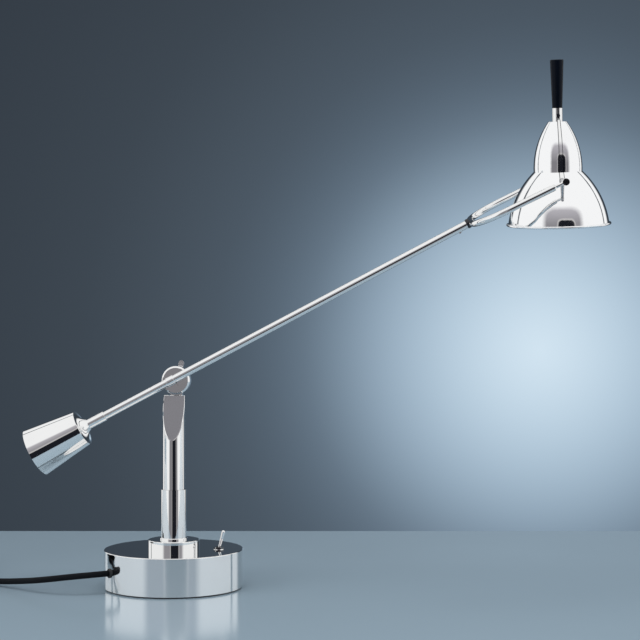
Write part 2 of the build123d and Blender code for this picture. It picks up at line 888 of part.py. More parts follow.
BELL = ((rim_radius, 0.0), (bell_middle_radius, bell_middle_height), (waist_radius, waist_height))
DOME = ((waist_radius, waist_height), (dome_middle_radius, dome_middle_height),
        (crown_radius, crown_height))


def radius_at(points, height, inward):
    """Radius at a height of the arc through three points, moved inward by a distance."""
    x, y, radius = arc_circle(*points)
    return x + ((radius - inward) ** 2 - (height - y) ** 2) ** 0.5


def moved_arc(points, inward, low, high):
    """The arc through three points moved inward, between two heights."""
    return arc_through(*[(radius_at(points, height, inward), height)
                         for height in (low, (low + high) / 2, high)])


def shade_layer(inner, outer, low, top):
    """A thin turned layer between two distances inward of the shade's outline."""
    inner_bell = moved_arc(BELL, inner, low, waist_height)
    inner_dome = moved_arc(DOME, inner, waist_height, top)
    outer_bell = moved_arc(BELL, outer, low, waist_height)
    outer_dome = moved_arc(DOME, outer, waist_height, top)
    lines = [inner_bell, inner_dome, outer_bell, outer_dome, Line(inner_bell @ 0, outer_bell @ 0),
             Line(inner_dome @ 1, outer_dome @ 1)]
    for bell, dome in ((inner_bell, inner_dome), (outer_bell, outer_dome)):
        if (bell @ 1 - dome @ 0).length > 1e-6:
            lines.append(Line(bell @ 1, dome @ 0))
    return turned(*lines)


def filled_bell(inward, low, high):
    """The whole inside of the bell, moved inward by a distance, between two heights."""
    wall = moved_arc(BELL, inward, low, high)
    return turned(wall, Polyline(wall @ 1, (0, 0, high), (0, 0, low), wall @ 0))


def pin_line(start, end, radius):
    """A cylinder on the pivot axis, on the viewer's side, in the shade's frame."""
    return between((0, -start, pivot_above_rim), (0, -end, pivot_above_rim), radius)


def shade():
    """Spun shade: bell, dome and crown in one skin, with a rolled rim."""
    inner_crown = crown_height - shade_wall
    skin = shade_layer(shade_wall, 0.0, 0.0, inner_crown)
    skin += ring(crown_radius, nipple_radius + seat_gap, inner_crown, crown_height)
    skin += cone(radius_at(DOME, inner_crown, 0.0), crown_radius, inner_crown, crown_height) - disc(
        nipple_radius + seat_gap, inner_crown, crown_height)
    skin = fillet(outer_circle(skin, crown_height), crown_edge)
    skin += Pos(0, 0, rim_bead_radius) * Torus(rim_radius + rim_bead_radius * 0.45, rim_bead_radius)
    hole = pin_line(-rim_radius, rim_radius, pin_radius + seat_gap)
    return shade_frame * (skin - hole)


def strap_local():
    """Strip from the neck down the dome to the pivot pin, on the viewer's side."""
    strip_top = crown_height - strap_foot
    skin = shade_layer(-seat_gap, -seat_gap - strap_thickness, pivot_above_rim - strap_low_reach, strip_top)
    low_inner = radius_at(DOME, strip_top, -seat_gap)
    high_inner = neck_radius + seat_gap
    bend = crown_height + strap_bend_rise
    bend_inner = crown_radius + strap_bend_out
    tab_low = strap_top_height - strap_tab
    skin += outline((low_inner, strip_top), (bend_inner, bend),
                    (high_inner, tab_low), (high_inner, strap_top_height),
                    (high_inner + strap_thickness, strap_top_height),
                    (high_inner + strap_thickness, tab_low + strap_thickness / 2),
                    (bend_inner + strap_thickness, bend),
                    (low_inner + strap_thickness, strip_top))
    top = strap_top_height
    strip = make_face(Polyline((-strap_bottom_width / 2, 0, pivot_above_rim),
                               (strap_bottom_width / 2, 0, pivot_above_rim),
                               (strap_top_width / 2, 0, top), (-strap_top_width / 2, 0, top),
                               close=True))
    eye = Pos(0, 0, pivot_above_rim) * Rot(90, 0, 0) * Circle(strap_bottom_width / 2 + strap_eye_rim)
    window = extrude(strip, rim_radius, dir=(0, -1, 0)) + extrude(eye, rim_radius, dir=(0, -1, 0))
    strap = skin & window
    strap -= pin_line(0, rim_radius, pin_radius + seat_gap)
    return strap - strap_screw_local(seat_gap)


def strap_screw_local(play=0.0):
    """Round-headed screw that holds the strap's upper end to the neck."""
    height = strap_top_height - strap_screw_drop
    outside = neck_radius + seat_gap + strap_thickness
    screw = between((0, -nipple_radius - seat_gap, height), (0, -outside - play, height),
                    strap_screw_radius + play)
    if play:
        return screw
    head = between((0, -outside, height), (0, -outside - strap_screw_head_height, height),
                   strap_screw_head)
    return screw + head


def shade_straps():
    return shade_frame * both_sides(strap_local())


def strap_screws():
    return shade_frame * both_sides(strap_screw_local())


def neck_collar():
    collar = ring(neck_radius, nipple_radius, crown_height, handle_bottom)
    return shade_frame * (collar - both_sides(strap_screw_local()))


def neck_nipple():
    top = handle_bottom + handle_bore_depth
    return shade_frame * ring(nipple_radius, nipple_bore, crown_height - nipple_drop, top)


def handle():
    top = handle_bottom + handle_length
    grip = cone(handle_bottom_radius, handle_top_radius, handle_bottom, top)
    grip = fillet(outer_circle(grip, top), handle_edge)
    return shade_frame * (grip - disc(nipple_radius, handle_bottom, handle_bottom + handle_bore_depth))


def pin_nut_outer():
    """Outer face of the nut on a pin: it meets the bell's slope at its upper corner."""
    corner = pin_nut_radius / cos(radians(30))
    return radius_at(BELL, pivot_above_rim + corner, shade_wall) - seat_gap


def pivot_pins():
    """Shouldered screws that the shade turns on, one each side, heads outside."""
    pin = pin_line(pin_nut_outer() - pin_nut_height - pin_thread_end, pin_shoulder, pin_radius)
    head = pin_line(pin_shoulder, pin_shoulder + pin_head_height, pin_head_radius)
    outer = -pin_shoulder - pin_head_height
    slot = block((-pin_head_radius, pin_head_radius), (outer, outer + pin_slot_depth),
                 (pivot_above_rim - screw_slot_half, pivot_above_rim + screw_slot_half))
    return shade_frame * both_sides(pin + head - slot)


def pivot_nuts():
    outer = pin_nut_outer()
    nut = hexagon(2 * pin_nut_radius, outer - pin_nut_height, outer)
    nut -= disc(pin_radius, outer - pin_nut_height, outer)
    return shade_frame * both_sides(Pos(0, 0, pivot_above_rim) * Rot(90, 0, 0) * nut)


def pivot_washers():
    low = pin_shoulder - pivot_washer_thickness + running_gap
    washer = ring(pin_head_radius + pivot_washer_rim, pin_radius, low, pin_shoulder)
    return shade_frame * both_sides(Pos(0, 0, pivot_above_rim) * Rot(90, 0, 0) * washer)


def pivot_spacers():
    """Tubes on the pins between the straps' lower eyes and the fork."""
    outer = fork_half_width - eye_thickness / 2 - clear_gap
    wall = radius_at(BELL, pivot_above_rim - spacer_radius, 0.0)
    spacer = ring(spacer_radius, pin_radius, wall - spacer_sunk, outer)
    spacer = Pos(0, 0, pivot_above_rim) * Rot(90, 0, 0) * spacer
    spacer -= filled_bell(-seat_gap - strap_thickness - running_gap, pivot_above_rim - 2 * spacer_radius,
                          pivot_above_rim + 2 * spacer_radius)
    return shade_frame * both_sides(spacer)


# ---- Bulb and holder ----------------------------------------------------------------------

def lampholder():
    top = holder_bottom + holder_height
    holder = disc(holder_radius, holder_bottom, top)
    holder += cone(holder_radius, holder_cap_radius, top, top + holder_cap_height)
    holder -= disc(holder_radius - holder_wall, holder_bottom, top - contact_height)
    return shade_frame * (holder - disc(nipple_radius, top, top + holder_cap_height))


def holder_contacts():
    """Brass screw shell that takes the bulb's cap, and the spring contact above it."""
    outer = holder_radius - holder_wall
    top = holder_bottom + holder_height - contact_height
    shell = ring(outer, bulb_cap_radius + seat_gap, top - bulb_cap_length, top)
    return shade_frame * group(shell, disc(contact_radius, top - contact_height, top))


def bulb_cap():
    top = holder_bottom + holder_height - 2 * contact_height
    return shade_frame * disc(bulb_cap_radius, top - bulb_cap_length, top)


def bulb_outline(inward):
    """Closed outline of the bulb's glass moved inward, in the XZ plane."""
    radius = bulb_radius - inward
    drop = bulb_height - radius
    turn = radians(50)
    shoulder = (radius * cos(turn), 0, bulb_height + radius * sin(turn))
    throat_height = holder_bottom + holder_height - 2 * contact_height - bulb_cap_length - inward
    throat = (bulb_cap_radius - inward, 0, throat_height)
    globe = ThreePointArc((0, 0, drop), (radius, 0, bulb_height), shoulder)
    return turned(globe, Line(shoulder, throat), Line(throat, (0, 0, throat_height)),
                  Line((0, 0, throat_height), (0, 0, drop)))


def bulb_glass():
    return shade_frame * (bulb_outline(0.0) - bulb_outline(bulb_wall))


# ---- Toggle switch ------------------------------------------------------------------------

def switch_body():
    under = -shell_roof
    body = block((-switch_length / 2, switch_length / 2), (-switch_width / 2, switch_width / 2),
                 (under - switch_depth, under))
    body += disc(switch_bushing_radius, under, switch_bushing_rise)
    room = Pos(0, 0, -lever_pivot_drop) * Sphere(lever_ball_radius + clear_gap)
    body -= room + disc(switch_bushing_bore, -lever_pivot_drop, switch_bushing_rise)
    low = under - switch_depth
    for place in (-tab_spacing, 0, tab_spacing):
        body += block((place - tab_half, place + tab_half), (-tab_width / 2, tab_width / 2),
                      (low - tab_length, low))
    return switch_frame * body


def switch_nut():
    """Flanged nut that holds the switch under the roof."""
    top = switch_washer_thickness + switch_nut_height
    nut = disc(switch_washer_radius, 0, switch_washer_thickness)
    nut += hexagon(switch_nut_flats, switch_washer_thickness, top)
    return switch_frame * (nut - disc(switch_bushing_radius, 0, top))


def toggle_lever():
    """Bat lever that flips about Y inside the bushing."""
    reach = lever_length + lever_pivot_drop
    bat = Sphere(lever_ball_radius)
    bat += cone(lever_root_radius, lever_tip_radius, 0, reach - lever_tip_radius)
    bat += Pos(0, 0, reach - lever_tip_radius) * Sphere(lever_tip_radius)
    return switch_frame * Pos(0, 0, -lever_pivot_drop) * Rot(0, lever_tilt, 0) * bat


# ---- Cord inlet, clamp and wiring ---------------------------------------------------------

def cord_grommet():
    """Rubber bushing with a lip inside and a lip outside, trimmed to the round wall."""
    inner = base_radius - shell_wall
    body = rod(grommet_radius, inner - 4 * grommet_lip, base_radius + grommet_lip, z=inlet_height)
    body += rod(grommet_flange, inner - 4 * grommet_lip, base_radius + grommet_lip, z=inlet_height)
    body -= ring(base_radius, inner, 0, base_height) - rod(grommet_radius, 0, base_radius,
                                                            z=inlet_height)
    body -= disc(inner - 2 * grommet_lip, 0, base_height)
    return inlet_frame * (body - rod(cord_radius, 0, 2 * base_radius, z=inlet_height))


def clamp_screw(play=0.0):
    """Screw through the clamp's bar, beside the cord."""
    top = inlet_height + clamp_height
    screw = disc(clamp_screw_radius + play, inlet_height - clamp_screw_depth, top, clamp_place)
    return screw + disc(clamp_screw_head + play, top - clamp_screw_head_height, top, clamp_place)


def clamp_screw_list(play=0.0):
    return [Pos(0, side * clamp_screw_spread, 0) * clamp_screw(play) for side in (-1, 1)]


def clamp_block(low, high):
    """A block across the cord between two heights, with the cord's and screws' room cut out."""
    solid = block((clamp_place - clamp_length / 2, clamp_place + clamp_length / 2),
                  (-clamp_half_width, clamp_half_width), (low, high))
    solid -= rod(cord_radius, 0, base_radius, z=inlet_height)
    for screw in clamp_screw_list():
        solid -= screw
    return solid


def clamp_bar():
    return inlet_frame * clamp_block(inlet_height, inlet_height + clamp_height)


def clamp_screws():
    return inlet_frame * group(*clamp_screw_list())


def terminal_block():
    """Moulding on the cover plate: the block where the cord meets the leads, the clamp's seat."""
    span = (terminal_place - terminal_length / 2, terminal_place + terminal_length / 2)
    solid = block(span, (-terminal_half_width, terminal_half_width),
                  (cover_top, inlet_height + terminal_height / 2))
    top = inlet_height + terminal_height / 2
    for side in (-1, 1):
        solid -= disc(terminal_screw_radius, top - terminal_screw_depth, top, terminal_place,
                      side * terminal_half_width / 2)
    solid += clamp_block(cover_top, inlet_height)
    solid += block((span[1], clamp_place - clamp_length / 2), (-clamp_half_width, clamp_half_width),
                   (cover_top, cover_top + bridge_thickness))
    return inlet_frame * solid


def bent_wire(*points):
    """A lead through points, with corners as round as its runs allow."""
    return tube_along(FilletPolyline(*points, radius=wire_bend), wire_radius)


def block_exit(side):
    """Two points straight out of the terminal block's inner face, on one side of its middle."""
    start = terminal_place - terminal_length / 2
    places = [inlet_frame * Pos(x, side * wire_spread, wire_height)
              for x in (start, start - wire_reach)]
    return [place.position for place in places]


def base_wiring():
    """The cord's end inside the base, a lead to the switch and one up the spigot."""
    inner_end = inlet_frame * rod(cord_radius, terminal_place + terminal_length / 2,
                                  base_radius + grommet_lip, z=inlet_height)
    tab_x = switch_x - tab_spacing
    to_switch = bent_wire(*block_exit(1), (wire_spread / 2, switch_y, wire_height),
                          (tab_x, switch_y, wire_height), (tab_x, switch_y, switch_tab_end))
    to_column = bent_wire(*block_exit(-1), (0, 0, wire_height), (0, 0, spindle_bottom - clear_gap))
    return group(inner_end, to_switch, to_column)


# ---- Free cord, its coil and its plug -----------------------------------------------------

def route_radii(points):
    """Fillet radius for each corner of the cord's route."""
    radii = []
    for before, here, after in zip(points, points[1:], points[2:]):
        run_in = Vector(here) - Vector(before)
        run_out = Vector(after) - Vector(here)
        turn = run_in.get_angle(run_out)
        radii.append(route_share * min(run_in.length, run_out.length) / tan(radians(turn) / 2))
    return radii


def whole_route():
    """The cord's route, from the grommet's outer face to the coil."""
    inlet = inlet_frame * Pos(base_radius + grommet_lip, 0, inlet_height)
    return [tuple(inlet.position)] + cord_route


@cache
def route_line():
    points = whole_route()
    return FilletPolyline(*points, radius=route_radii(points))


def cord():
    return tube_along(route_line(), cord_radius)


@cache
def coil_inner_radius():
    """Radius at the coil's middle turn, so that the whole cord has its length."""
    ends = coil_lead_in + coil_tail
    free = cord_length - route_line().length - ends
    spread = coil_middle_turn ** 2 + (coil_turns - coil_middle_turn) ** 2
    return free / (2 * pi * coil_turns) - coil_pitch * spread / (2 * coil_turns)


def coil_radius(turns):
    """The coil spirals in to its middle turn and out again at a steady rate."""
    return coil_inner_radius() + coil_pitch * abs(turns - coil_middle_turn)


def coil_centre():
    x, y, z = cord_route[-1]
    return Vector(x - coil_radius(0), y + coil_lead_in, z)


def coil_knot(turns):
    """Point and direction of the coil's middle line after a number of turns."""
    angle = 2 * pi * turns
    outward = Vector(cos(angle), sin(angle), 0)
    around = Vector(-sin(angle), cos(angle), 0)
    past_middle = turns - coil_middle_turn
    rate = coil_pitch * ((past_middle > 0) - (past_middle < 0))
    climb = min(max(past_middle / coil_climb + 0.5, 0.0), 1.0)
    rise = coil_layer * (1 - cos(pi * climb)) / 2
    rise_rate = coil_layer * pi / 2 * sin(pi * climb) / coil_climb
    radius = coil_radius(turns)
    point = coil_centre() + outward * radius + Vector(0, 0, rise)
    direction = outward * rate + around * (2 * pi * radius) + Vector(0, 0, rise_rate)
    if turns in (0.0, coil_turns):
        direction = around
    return point, direction.normalized()


def biarc(start, start_way, end, end_way):
    """Two arcs that join two points with a given direction at each."""
    chord = end - start
    ways = start_way + end_way
    a = 2 * (1 - start_way.dot(end_way))
    b = 2 * chord.dot(ways)
    c = -chord.dot(chord)
    reach = -c / b if abs(a) < 1e-9 else (-b + (b * b - 4 * a * c) ** 0.5) / (2 * a)
    middle = (start + start_way * reach + end - end_way * reach) / 2
    return [TangentArc(start, middle, tangent=start_way),
            TangentArc(middle, end, tangent=-end_way, tangent_from_first=False)]


@cache
def coil_line():
    """Middle line of the coil: one straight end, quarter turns of two arcs, one straight end."""
    knots = [coil_knot(quarter / 4) for quarter in range(int(coil_turns * 4) + 1)]
    if coil_turns * 4 > int(coil_turns * 4):
        knots.append(coil_knot(coil_turns))
    first, first_way = knots[0]
    last, last_way = knots[-1]
    edges = [Line(first - first_way * coil_lead_in, first)]
    for (start, start_way), (end, end_way) in zip(knots, knots[1:]):
        edges += biarc(start, start_way, end, end_way)
    edges.append(Line(last, last + last_way * coil_tail))
    return Wire(edges)


def least_self_gap(line, radius):
    """Least air between two stretches of a tube that lie several diameters apart along it."""
    count = int(line.length / radius)
    points = [line @ (index / count) for index in range(count + 1)]
    skip = 8
    nearest = min((points[i] - points[j]).length
                  for i in range(count + 1) for j in range(i + skip, count + 1))
    return nearest - 2 * radius


def cord_coil():
    return tube_along(coil_line(), cord_radius)


def coil_tie():
    """Soft band round all the turns at one place."""
    share = tie_angle / 360
    radii = [coil_radius(turn + share) for turn in range(int(coil_turns))]
    inner = min(radii) - cord_radius - tie_gap
    outer = max(radii) + cord_radius + tie_gap
    low = -cord_radius - tie_gap
    high = coil_layer + cord_radius + tie_gap
    half = tie_width / 2
    band = block((inner - tie_thickness, outer + tie_thickness), (-half, half),
                 (low - tie_thickness, high + tie_thickness))
    band = fillet(band.edges().filter_by(Axis.Y), cord_radius)
    room = block((inner, outer), (-half, half), (low, high))
    band -= fillet(room.edges().filter_by(Axis.Y), cord_radius - tie_thickness)
    return Pos(*coil_centre()) * Rot(0, 0, tie_angle) * band


def plug_frame():
    """At the coil's end, X along the tail."""
    line = coil_line()
    return Plane(origin=line @ 1, x_dir=line % 1, z_dir=(0, 0, 1)).location


def plug_body():
    """Two-pin plug with a tapered sleeve where the cord enters."""
    sleeve = Rot(0, 90, 0) * cone(plug_neck_start, plug_neck_radius, 0, plug_neck_length)
    body = block((plug_neck_length, plug_neck_length + plug_length),
                 (-plug_half_width, plug_half_width), (-plug_half_height, plug_half_height))
    body = fillet(body.edges().filter_by(Axis.X), plug_corner)
    return plug_frame() * (sleeve + body)


def plug_pins():
    start = plug_neck_length + plug_length
    pins = [rod(plug_pin_radius, start, start + plug_pin_length, y=side * plug_pin_spread)
            for side in (-1, 1)]
    return plug_frame() * group(*pins)


# ---- Files --------------------------------------------------------------------------------

SUBPARTS = [
    base_shell, base_ballast, base_cover_plate, felt_pad, cover_screws, base_boss, column_sleeve,
    swivel_screw, column_bush, sleeve_locknut, switch_body, switch_nut, toggle_lever,
    cord_grommet, clamp_bar, clamp_screws, terminal_block, base_wiring,
    column_post, fixed_disc, column_lead, friction_washer, pivot_bolt, spring_washer, wing_nut,
    arm_disc, arm_saddle, saddle_screws, arm_tube, arm_cable, counterweight_shell,
    counterweight_core, weight_sleeve, weight_set_screw, weight_end_cap, weight_end_screw,
    tube_end_plug, stop_screw, fork_stem, fork_ferrule, fork_yoke, shade, shade_straps,
    strap_screws, neck_collar, neck_nipple, handle, pivot_pins, pivot_nuts, pivot_washers,
    pivot_spacers, lampholder, holder_contacts, bulb_cap, bulb_glass, cord, cord_coil,
    coil_tie, plug_body, plug_pins,
]

os.makedirs("parts", exist_ok=True)
for subpart in SUBPARTS:
    export_step(subpart(), f"parts/{subpart.__name__}.step")

print("cord radii", [round(radius, 1) for radius in route_radii(whole_route())])
print("cord volume over section times length",
      round(cord().volume / (pi * cord_radius ** 2 * route_line().length), 4))
print("cord length", round(route_line().length + coil_line().length, 1))
print("coil least gap to itself", round(least_self_gap(coil_line(), cord_radius), 2))
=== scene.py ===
import math

import bpy
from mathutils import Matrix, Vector


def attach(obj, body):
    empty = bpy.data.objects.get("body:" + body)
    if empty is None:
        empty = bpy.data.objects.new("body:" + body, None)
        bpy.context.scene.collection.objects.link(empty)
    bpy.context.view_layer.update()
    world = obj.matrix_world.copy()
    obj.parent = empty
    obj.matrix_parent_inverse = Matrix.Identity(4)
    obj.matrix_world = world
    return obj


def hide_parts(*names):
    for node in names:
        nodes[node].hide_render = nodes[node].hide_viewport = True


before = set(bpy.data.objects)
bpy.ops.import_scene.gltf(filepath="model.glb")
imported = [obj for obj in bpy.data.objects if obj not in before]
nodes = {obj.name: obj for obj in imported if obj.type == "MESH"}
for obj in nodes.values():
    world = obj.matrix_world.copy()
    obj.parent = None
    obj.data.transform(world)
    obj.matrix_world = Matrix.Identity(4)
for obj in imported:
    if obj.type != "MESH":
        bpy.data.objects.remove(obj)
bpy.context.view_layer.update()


# ---- Camera ---------------------------------------------------------------------------------
# The lamp is seen level from the front, from about a metre and a half away, so that the base's
# round top shows as a thin ellipse and the shade's rim is seen almost edge on.

PHOTO_WIDTH = 640
FOCAL_PIXELS = 1550.0
SENSOR = 36.0
CAMERA_PLACE = Vector((0.1479, -1.568, 0.270))
FARTHEST_SEEN = 50.0

camera_data = bpy.data.cameras.new("photo_camera")
camera_data.sensor_width = SENSOR
camera_data.lens = FOCAL_PIXELS / PHOTO_WIDTH * SENSOR
camera_data.clip_end = FARTHEST_SEEN
camera = bpy.data.objects.new("photo_camera", camera_data)
camera.location = CAMERA_PLACE
camera.rotation_euler = (math.radians(90), 0, 0)
bpy.context.scene.collection.objects.link(camera)
bpy.context.scene.camera = camera


# ---- Cord -----------------------------------------------------------------------------------
# Six millimetre mains lead in a black woven textile sleeve. It leaves the grommet low on the
# base, dips in a slack curve until it lies flat, and its spare length is wound in a neat coil.

CORD_RADIUS = 0.003
CORD_SIDES = 20
CORD_BLACK = (0.007, 0.008, 0.010)
BRAID_THREAD = 0.0012
CORD_EXIT = (-0.06103, -0.03667, 0.0196)
CORD_ROUTE = [
    CORD_EXIT,
    (-0.0756, -0.045425, 0.0196),
    (-0.099, -0.0465, 0.0176),
    (-0.127, -0.036, 0.013),
    (-0.152, -0.0135, 0.008),
    (-0.1805, 0.0055, 0.0046),
    (-0.201, 0.0185, 0.0042),
    (-0.214, 0.034, 0.0042),
    (-0.219, 0.050, 0.0042),
    (-0.219, 0.066, 0.0042),
]
COIL_TURNS = 7.1
COIL_MIDDLE_TURN = 3.25
COIL_CLIMB = 0.5            # turns that the step up to the second layer takes
COIL_STEP = 0.0066          # from turn to turn, and from layer to layer
COIL_INNER_RADIUS = 0.0232825
COIL_LEAD_IN = 0.006        # straight run before the first turn
COIL_TAIL = 0.014           # and after the last one, into the plug
KNOTS_PER_TURN = 16


def coil_radius(turns):
    return COIL_INNER_RADIUS + COIL_STEP * abs(turns - COIL_MIDDLE_TURN)


def coil_points():
    """Turns that spiral in on the lower layer and out again on the upper one."""
    last_x, last_y, last_z = CORD_ROUTE[-1]
    centre = Vector((last_x - coil_radius(0), last_y + COIL_LEAD_IN, last_z))
    points = []
    count = round(COIL_TURNS * KNOTS_PER_TURN)
    for knot in range(count + 1):
        turns = COIL_TURNS * knot / count
        angle = 2 * math.pi * turns
        climb = min(max((turns - COIL_MIDDLE_TURN) / COIL_CLIMB + 0.5, 0.0), 1.0)
        rise = COIL_STEP * (1 - math.cos(math.pi * climb)) / 2
        outward = Vector((math.cos(angle), math.sin(angle), 0))
        points.append(centre + outward * coil_radius(turns) + Vector((0, 0, rise)))
    around = Vector((-math.sin(angle), math.cos(angle), 0))
    points.append(points[-1] + around * COIL_TAIL)
    return points


def smooth_line(name, points):
    """The smooth line of a cord, read back as the points of a curve with no thickness."""
    data = bpy.data.curves.new(name, "CURVE")
    data.dimensions = "3D"
    spline = data.splines.new("NURBS")
    spline.points.add(len(points) - 1)
    for knot, point in zip(spline.points, points):
        knot.co = (*point, 1)
    spline.order_u = 3
    spline.use_endpoint_u = True
    spline.resolution_u = 6
    holder = bpy.data.objects.new(name, data)
    bpy.context.scene.collection.objects.link(holder)
    bpy.context.view_layer.update()
    graph = bpy.context.evaluated_depsgraph_get()
    mesh = bpy.data.meshes.new_from_object(holder.evaluated_get(graph))
    line = [vertex.co.copy() for vertex in mesh.vertices]
    bpy.data.objects.remove(holder)
    bpy.data.meshes.remove(mesh)
    return line


def new_piece(name, mesh):
    piece = bpy.data.objects.new(name, mesh)
    bpy.context.scene.collection.objects.link(piece)
    return piece


def tube_rings(line, radius, sides):
    """Rings of points round a line, turned as little as they can be from one to the next."""
    points = []
    side = (line[1] - line[0]).orthogonal().normalized()
    for index, point in enumerate(line):
        before = line[max(index - 1, 0)]
        after = line[min(index + 1, len(line) - 1)]
        way = (after - before).normalized()
        side = (side - way * side.dot(way)).normalized()
        other = way.cross(side)
        for turn in range(sides):
            angle = 2 * math.pi * turn / sides
            points.append(point + (side * math.cos(angle) + other * math.sin(angle)) * radius)
    return points


def tube_mesh(name, line, radius, sides):
    """A round tube along a line, with a map of its length and girth in metres."""
    steps = [(ring, turn) for ring in range(len(line) - 1) for turn in range(sides)]
    faces = []
    for ring, turn in steps:
        following = (turn + 1) % sides
        faces.append((ring * sides + turn, ring * sides + following,
                      (ring + 1) * sides + following, (ring + 1) * sides + turn))
    last = (len(line) - 1) * sides
    faces.append(tuple(reversed(range(sides))))
    faces.append(tuple(range(last, last + sides)))
    mesh = bpy.data.meshes.new(name)
    mesh.from_pydata(tube_rings(line, radius, sides), [], faces)

    lengths = [0.0]
    for before, point in zip(line, line[1:]):
        lengths.append(lengths[-1] + (point - before).length)
    girth = 2 * math.pi * radius
    layer = mesh.uv_layers.new(name="along")
    for ring, turn in steps:
        face = mesh.polygons[ring * sides + turn]
        face.use_smooth = True
        corners = ((ring, turn), (ring, turn + 1), (ring + 1, turn + 1), (ring + 1, turn))
        for loop, (row, column) in enumerate(corners):
            layer.data[face.loop_start + loop].uv = (lengths[row], girth * column / sides)
    return mesh


class Number:
    """What comes out of a node's socket; arithmetic on it adds Math nodes."""

    def __init__(self, finish, socket):
        self.finish = finish
        self.socket = socket

    def math(self, operation, *others, first=False):
        values = [*others, self] if first else [self, *others]
        return self.finish.add("ShaderNodeMath", {"operation": operation}, dict(enumerate(values)))

    def __add__(self, other):
        return self.math("ADD", other)

    def __sub__(self, other):
        return self.math("SUBTRACT", other)

    def __rsub__(self, other):
        return self.math("SUBTRACT", other, first=True)

    def __mul__(self, other):
        return self.math("MULTIPLY", other)

    def __truediv__(self, other):
        return self.math("DIVIDE", other)

    def __rtruediv__(self, other):
        return self.math("DIVIDE", other, first=True)

    def __lt__(self, other):
        return self.math("LESS_THAN", other)

    def __gt__(self, other):
        return self.math("GREATER_THAN", other)

    __radd__ = __add__
    __rmul__ = __mul__


class Finish:
    """A material under construction: it adds nodes and links them to its shader."""

    def __init__(self, name, **sockets):
        self.material = bpy.data.materials.new(name)
        self.material.use_nodes = True
        self.tree = self.material.node_tree
        self.shader = self.tree.nodes["Principled BSDF"]
        self.set(**sockets)

    def add(self, kind, settings=None, inputs=None, output=0):
        """A node of a kind, with its settings made first, then its sockets filled or linked."""
        node = self.tree.nodes.new(kind)
        for name, value in (settings or {}).items():
            if name == "stops":
                self.fill_ramp(node.color_ramp, value)
            else:
                setattr(node, name, value)
        for name, value in (inputs or {}).items():
            self.fill(node.inputs[name], value)
        return Number(self, node.outputs[output])

    def fill(self, socket, value):
        if isinstance(value, Number):
            self.tree.links.new(value.socket, socket)
        elif socket.type == "RGBA":
            socket.default_value = (*value, 1.0)
        else:
            socket.default_value = value

    def fill_ramp(self, ramp, stops):
        """Smooth change from colour to colour, each at its place from 0 to 1."""
        ramp.interpolation = "B_SPLINE"
        while len(ramp.elements) < len(stops):
            ramp.elements.new(1.0)
        for element, (place, colour) in zip(ramp.elements, stops):
            element.position = place
            element.color = (*colour, 1.0)

    def set(self, **sockets):
        """Fills or links the shader's own sockets, named in small letters with _ for a space."""
        found = {socket.name.lower().replace(" ", "_"): socket for socket in self.shader.inputs}
        for name, value in sockets.items():
            self.fill(found[name], value)

    def noise(self, scale, detail=3, roughness=0.5, stretch=(1, 1, 1)):
        """Soft noise from 0 to 1, with about scale lumps to a metre of the piece."""
        point = self.add("ShaderNodeTexCoord", output="Object")
        point = self.add("ShaderNodeVectorMath", {"operation": "MULTIPLY"}, {0: point, 1: stretch})
        return self.add("ShaderNodeTexNoise", None, {"Vector": point, "Scale": scale,
                        "Detail": detail, "Roughness": roughness}, "Fac")

    def spread(self, value, low, high, to_low=0.0, to_high=1.0):
        """A value stretched from one span to another, held at its ends."""
        return self.add("ShaderNodeMapRange", {"clamp": True}, {"Value": value, "From Min": low,
                        "From Max": high, "To Min": to_low, "To Max": to_high})

    def along(self, point, way):
        """How far a point or a direction reaches along another direction."""
        return self.add("ShaderNodeVectorMath", {"operation": "DOT_PRODUCT"},
                        {0: point, 1: tuple(way)}, "Value")

    def mix(self, share, first, second):
        """A colour between two; the node's colours are its sockets 6 and 7, and 2 going out."""
        return self.add("ShaderNodeMix", {"data_type": "RGBA"}, {0: share, 6: first, 7: second}, 2)

    def bump(self, height, strength, distance):
        """Relief of a height in metres on the surface."""
        normal = self.add("ShaderNodeBump", None, {"Height": height, "Strength": strength,
                          "Distance": distance}, "Normal")
        self.set(normal=normal)


def darker(colour, share):
    """The same colour with only a share of its light."""
    return tuple(part * share for part in colour)


def woven_textile(name, colour, thread):
    """Black braid round the lead: two sets of threads that cross along its length, with painted shade
    in the grooves between them.
    """
    cloth = Finish(name, roughness=0.85, specular_ior_level=0.15)
    place = cloth.add("ShaderNodeTexCoord", output="UV")
    length, girth = [cloth.add("ShaderNodeSeparateXYZ", None, {0: place}, axis) for axis in "XY"]
    waves = 2 * math.pi / thread
    left = ((length + girth) * waves).math("SINE")
    right = ((length - girth) * waves).math("SINE")
    weave = left.math("MAXIMUM", right) * 0.5 + 0.5
    lint = cloth.noise(scale=900, detail=4)
    # Painted shade: the grooves between threads, low in the relief, are coloured darker; the lint is
    # a real speckle.
    cloth.set(base_color=cloth.mix(weave * 0.7 + lint * 0.3, darker(colour, 0.35), colour))
    cloth.bump(weave, strength=0.8, distance=thread / 4)
    return cloth.material


cord_line = smooth_line("cord_line", CORD_ROUTE + coil_points())
cord = new_piece("textile_cord", tube_mesh("textile_cord", cord_line, CORD_RADIUS, CORD_SIDES))
cord.data.materials.append(woven_textile("black_textile", CORD_BLACK, BRAID_THREAD))
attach(cord, "base")
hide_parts("cord", "cord_coil")


# ---- Plug, coil tie and grommet -----------------------------------------------------------------
# Moulded black plug with two nickel pins, a soft rubber band round the coil, and the rubber
# bushing that the lead passes through in the base's side.

SMOOTH_ANGLE = math.radians(32)
MOULDING_BLACK = (0.016, 0.016, 0.018)
RUBBER_BLACK = (0.013, 0.013, 0.014)
RUBBER_BLOOM = (0.07, 0.07, 0.072)


